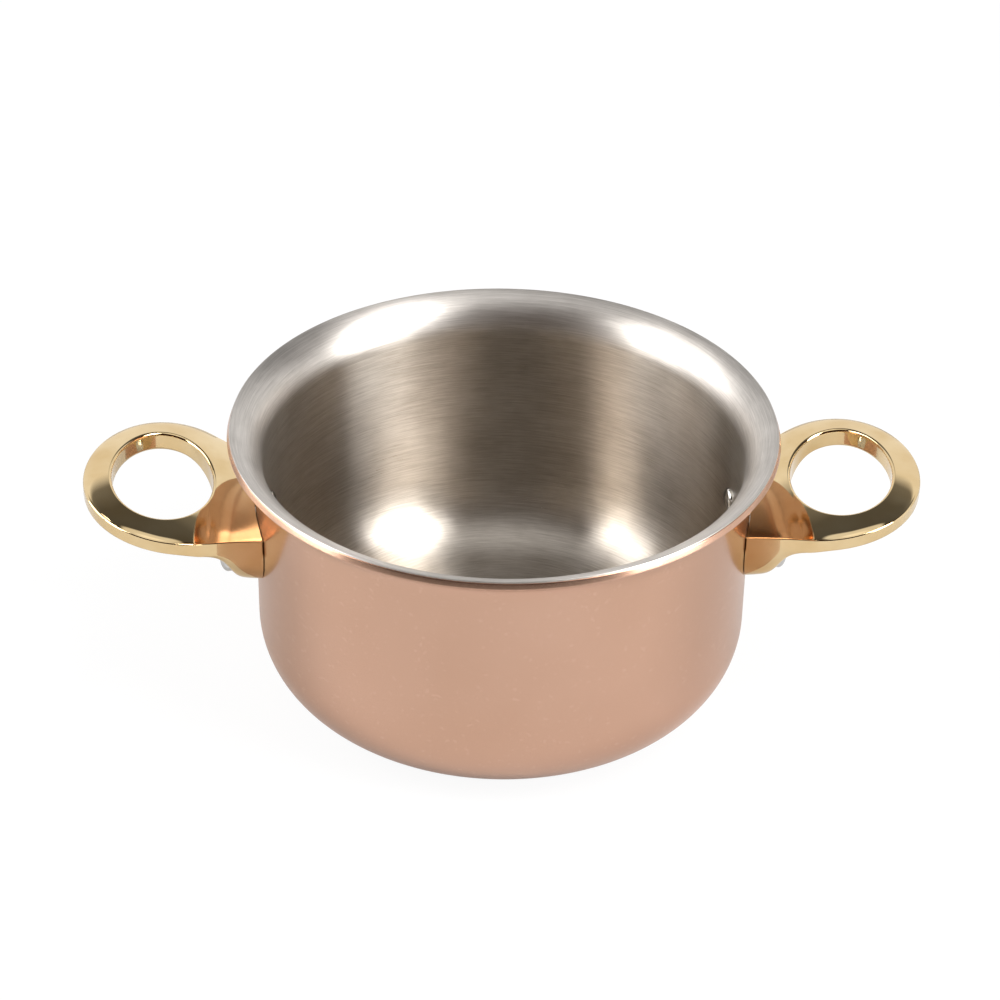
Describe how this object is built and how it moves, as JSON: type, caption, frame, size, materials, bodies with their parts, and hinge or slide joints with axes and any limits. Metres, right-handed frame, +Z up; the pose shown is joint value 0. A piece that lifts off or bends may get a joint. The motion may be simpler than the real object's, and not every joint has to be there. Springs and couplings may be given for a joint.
{
  "type": "saucepan",
  "caption": "Small copper saucepan with a flared pouring rim, a brushed steel lining and cast brass loop handles riveted to its wall.",
  "frame": {"origin": "on the table under the centre of the base", "axes": "+X through the right-hand handle, +Y to the back of the pan as pictured, +Z up the pan's axis"},
  "size_m": [0.2442, 0.16, 0.085],
  "materials": {
    "satin_copper": "copper with a fine satin polish",
    "brushed_steel": "brushed round the axis",
    "polished_brass": "mirror polished casting",
    "polished_steel": "polished stainless steel"
  },
  "bodies": {
    "root": {"copper_shell": "satin_copper", "steel_lining": "brushed_steel", "right_handle": "polished_brass", "left_handle": "polished_brass", "right_front_rivet": "polished_steel", "right_rear_rivet": "polished_steel", "left_front_rivet": "polished_steel", "left_rear_rivet": "polished_steel"}
  },
  "joints": []
}
